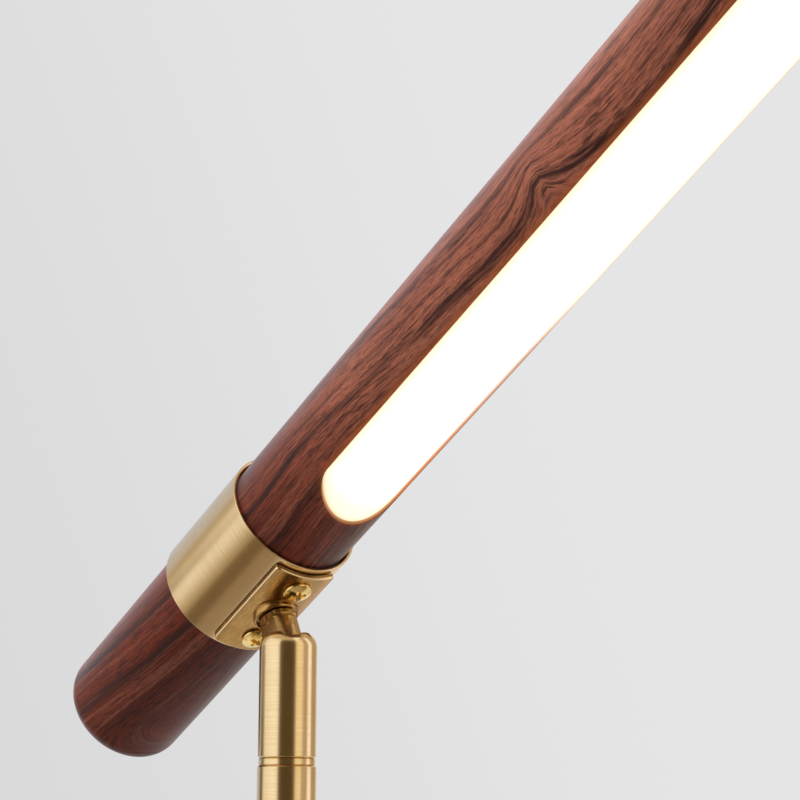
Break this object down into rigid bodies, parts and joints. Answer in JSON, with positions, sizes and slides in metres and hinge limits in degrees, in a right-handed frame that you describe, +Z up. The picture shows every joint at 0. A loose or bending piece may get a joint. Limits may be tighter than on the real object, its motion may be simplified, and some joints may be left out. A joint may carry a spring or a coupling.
{
  "type": "adjustable floor lamp",
  "caption": "Floor lamp with a round weighted base, a slim brass pole and a panning, tilting wood bar that carries a diffused light strip; foot button on the base.",
  "frame": {"origin": "middle of the pad's underside, on the floor below the pole", "axes": "+Z up the pole; the head leans towards +X; the tilt axis is along Y"},
  "size_m": [0.533, 0.26, 1.5778],
  "materials": {
    "satin_brass": "satin, brushed",
    "bracket_brass": "satin, browner",
    "polished_screws": "polished",
    "walnut": "satin lacquer, dark streaks along the bar",
    "opal": "opal, lit",
    "zinc_steel": "zinc plated",
    "base_iron": "as cast, painted",
    "alloy": "mill",
    "black_rubber": "matt",
    "black_plastic": "moulded",
    "white_case": "moulded",
    "led_phosphor": "moulded"
  },
  "bodies": {
    "stand": {"base_pad": "black_rubber", "bottom_plate": "zinc_steel", "bottom_screws": "zinc_steel", "base_weight": "base_iron", "base_cover": "satin_brass", "cord_inlet": "black_rubber", "light_driver": "white_case", "driver_screws": "zinc_steel", "switch_housing": "black_plastic", "switch_floor": "black_plastic", "switch_rim": "satin_brass", "switch_spring": "zinc_steel", "pole_rosette": "satin_brass", "pole_washer": "zinc_steel", "pole_nut": "zinc_steel", "pole_nipple": "zinc_steel", "pole_foot_plug": "zinc_steel", "lower_pole": "satin_brass", "pole_coupler": "satin_brass", "upper_pole": "satin_brass", "pan_spindle": "satin_brass", "pan_ring": "satin_brass", "pole_lead": "black_rubber"},
    "knuckle": {"knuckle_body": "satin_brass", "pan_grub_screw": "zinc_steel", "tilt_pins": "satin_brass", "friction_washers": "black_plastic"},
    "stud": {"tilt_stud": "satin_brass", "stud_clip": "zinc_steel"},
    "head": {"spin_washer": "zinc_steel", "bracket_plate": "bracket_brass", "bracket_screws": "polished_screws", "collar": "satin_brass", "wood_bar": "walnut", "led_carrier": "alloy", "carrier_screws": "zinc_steel", "led_board": "white_case", "led_chips": "led_phosphor", "diffuser": "opal", "head_lead": "black_rubber"},
    "button": {"switch_button": "satin_brass"}
  },
  "joints": [
    {"name": "head_pan", "type": "hinge", "parent": "stand", "child": "knuckle", "pos_m": [0, 0, 1.2513], "axis": [0, 0, 1], "range_deg": [-165, 165]},
    {"name": "head_tilt", "type": "hinge", "parent": "knuckle", "child": "stud", "pos_m": [0, 0, 1.28], "axis": [0, -1, 0], "range_deg": [-31, 54]},
    {"name": "head_spin", "type": "hinge", "parent": "stud", "child": "head", "pos_m": [0, 0, 1.28], "axis": [-0.515, 0, 0.8572], "range_deg": [-98, 82]},
    {"name": "switch_press", "type": "slide", "parent": "stand", "child": "button", "axis": [0, 0, -1], "range_m": [0, 0.0025], "stiffness_N_per_m": 600, "springref_m": -0.003, "deforming": ["switch_spring"]}
  ]
}
